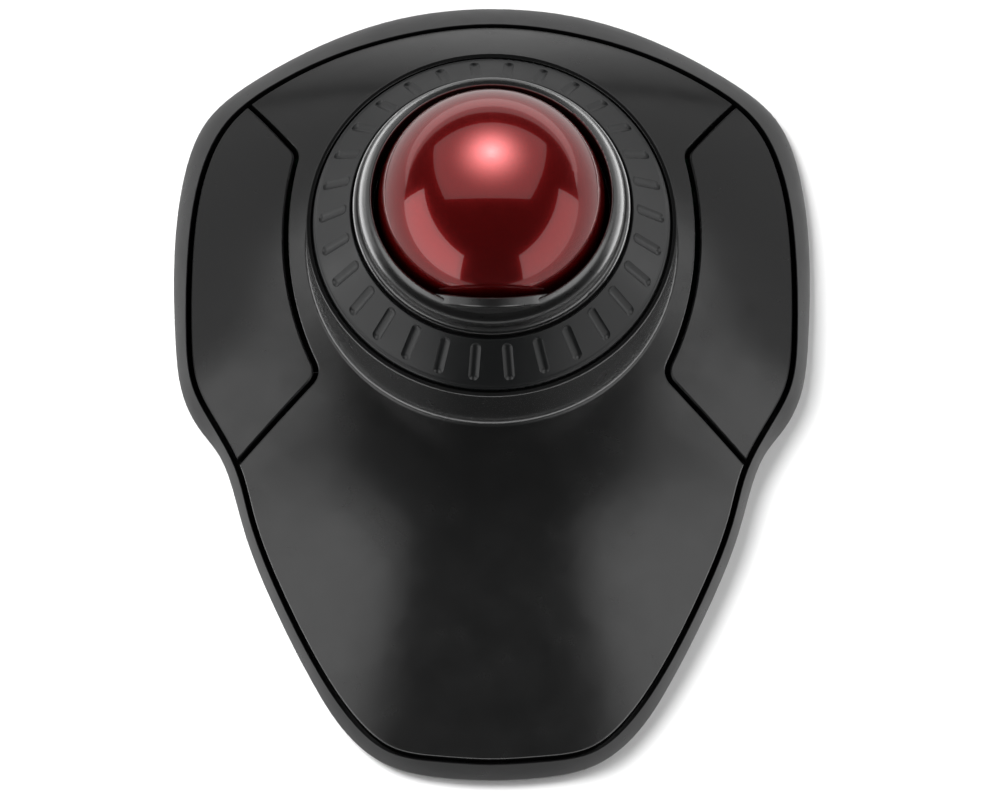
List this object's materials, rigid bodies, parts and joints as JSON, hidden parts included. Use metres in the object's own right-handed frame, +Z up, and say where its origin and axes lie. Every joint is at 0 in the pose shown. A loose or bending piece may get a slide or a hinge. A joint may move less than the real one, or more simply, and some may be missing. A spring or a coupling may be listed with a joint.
{
  "type": "computer mouse",
  "caption": "Wireless desktop trackball with a red ball, a ribbed scroll ring round it, two wing buttons, a palm rest and its working insides.",
  "frame": {"origin": "on the surface it stands on, under the middle of its box", "axes": "+Z up, +Y away from the user's palm, +X to the user's right"},
  "size_m": [0.1168, 0.1493, 0.058],
  "materials": {
    "shell_plastic": "fine-textured charcoal ABS",
    "cover_plastic": "soft-touch black with a faint sheen",
    "button_plastic": "soft-touch black with a faint sheen",
    "ball_resin": "polished deep red phenolic resin",
    "ring_plastic": "smooth satin rubberised black",
    "bezel_gloss": "polished black with a satin rim",
    "inner_plastic": "moulded black ABS",
    "bearing_ceramic": "polished white bearing balls",
    "washer_plastic": "white low-friction plastic",
    "board_laminate": "green solder mask",
    "chip_resin": "moulded black resin",
    "lens_clear": "clear moulded lens",
    "ribbon_white": "white flat cable",
    "switch_plastic": "black switch body",
    "plunger_plastic": "grey acetal",
    "cell_sleeve": "plain printed sleeve over a steel can",
    "nickel_steel": "nickel-plated steel",
    "screw_steel": "zinc-plated steel",
    "receiver_plastic": "textured black",
    "foot_rubber": "soft dark rubber",
    "plate_plastic": "blank grey label"
  },
  "bodies": {
    "housing": {"base_shell": "shell_plastic", "top_cover": "cover_plastic", "bezel": "bezel_gloss", "ball_cup": "inner_plastic", "bearing_balls": "bearing_ceramic", "glide_washer": "washer_plastic", "encoder_sensor": "chip_resin", "sensor_board": "board_laminate", "board_spacers": "inner_plastic", "sensor_chip": "chip_resin", "sensor_lens": "lens_clear", "ribbon_cable": "ribbon_white", "main_board": "board_laminate", "radio_chip": "chip_resin", "board_components": "chip_resin", "right_switch": "switch_plastic", "left_switch": "switch_plastic", "slide_switch": "switch_plastic", "tact_switch": "switch_plastic", "aaa_cell_rear": "cell_sleeve", "aaa_cell_front": "cell_sleeve", "contact_plates": "nickel_steel", "battery_springs": "nickel_steel", "case_screws": "screw_steel", "cup_screws": "screw_steel", "board_screws": "screw_steel", "hinge_pins": "screw_steel", "rubber_feet": "foot_rubber", "rating_plate": "plate_plastic"},
    "ball": {"ball": "ball_resin"},
    "ring": {"scroll_ring": "ring_plastic", "encoder_ring": "inner_plastic"},
    "left_button": {"left_button": "button_plastic"},
    "right_button": {"right_button": "button_plastic"},
    "left_plunger": {"left_plunger": "plunger_plastic"},
    "right_plunger": {"right_plunger": "plunger_plastic"},
    "power_slider": {"power_slider": "plunger_plastic"},
    "connect_button": {"connect_button": "plunger_plastic"},
    "battery_door": {"battery_door": "shell_plastic"},
    "receiver": {"receiver_cap": "receiver_plastic", "receiver_plug": "nickel_steel"}
  },
  "joints": [
    {"name": "ball_roll", "type": "hinge", "parent": "housing", "child": "ball", "pos_m": [0, 0.0205, 0.038], "axis": [1, 0, 0], "continuous": true},
    {"name": "ring_scroll", "type": "hinge", "parent": "housing", "child": "ring", "pos_m": [0, 0.0205, 0.03], "axis": [0, 0, 1], "continuous": true},
    {"name": "left_click", "type": "hinge", "parent": "housing", "child": "left_button", "pos_m": [-0.042, -0.006, 0.0066], "axis": [-1, 0, 0], "range_deg": [0, 1.2], "stiffness_Nm_per_rad": 0.5},
    {"name": "left_switch_press", "type": "slide", "parent": "housing", "child": "left_plunger", "axis": [0, 0, -1], "range_m": [0, 0.0008]},
    {"name": "right_click", "type": "hinge", "parent": "housing", "child": "right_button", "pos_m": [0.042, -0.006, 0.0066], "axis": [-1, 0, 0], "range_deg": [0, 1.2], "stiffness_Nm_per_rad": 0.5},
    {"name": "right_switch_press", "type": "slide", "parent": "housing", "child": "right_plunger", "axis": [0, 0, -1], "range_m": [0, 0.0008]},
    {"name": "power_slide", "type": "slide", "parent": "housing", "child": "power_slider", "axis": [1, 0, 0], "range_m": [0, 0.0024]},
    {"name": "connect_press", "type": "slide", "parent": "housing", "child": "connect_button", "axis": [0, 0, 1], "range_m": [0, 0.0004], "stiffness_N_per_m": 200},
    {"name": "battery_door_swing", "type": "hinge", "parent": "housing", "child": "battery_door", "pos_m": [0, -0.0296, 0.0014], "axis": [-1, 0, 0], "range_deg": [0, 75]},
    {"name": "receiver_slide", "type": "slide", "parent": "housing", "child": "receiver", "axis": [0, 0, -1], "range_m": [0, 0.009]}
  ],
  "couplings": [
    {"joint": "left_switch_press", "follows": "left_click", "m_per_rad": 0.036},
    {"joint": "right_switch_press", "follows": "right_click", "m_per_rad": 0.036}
  ]
}
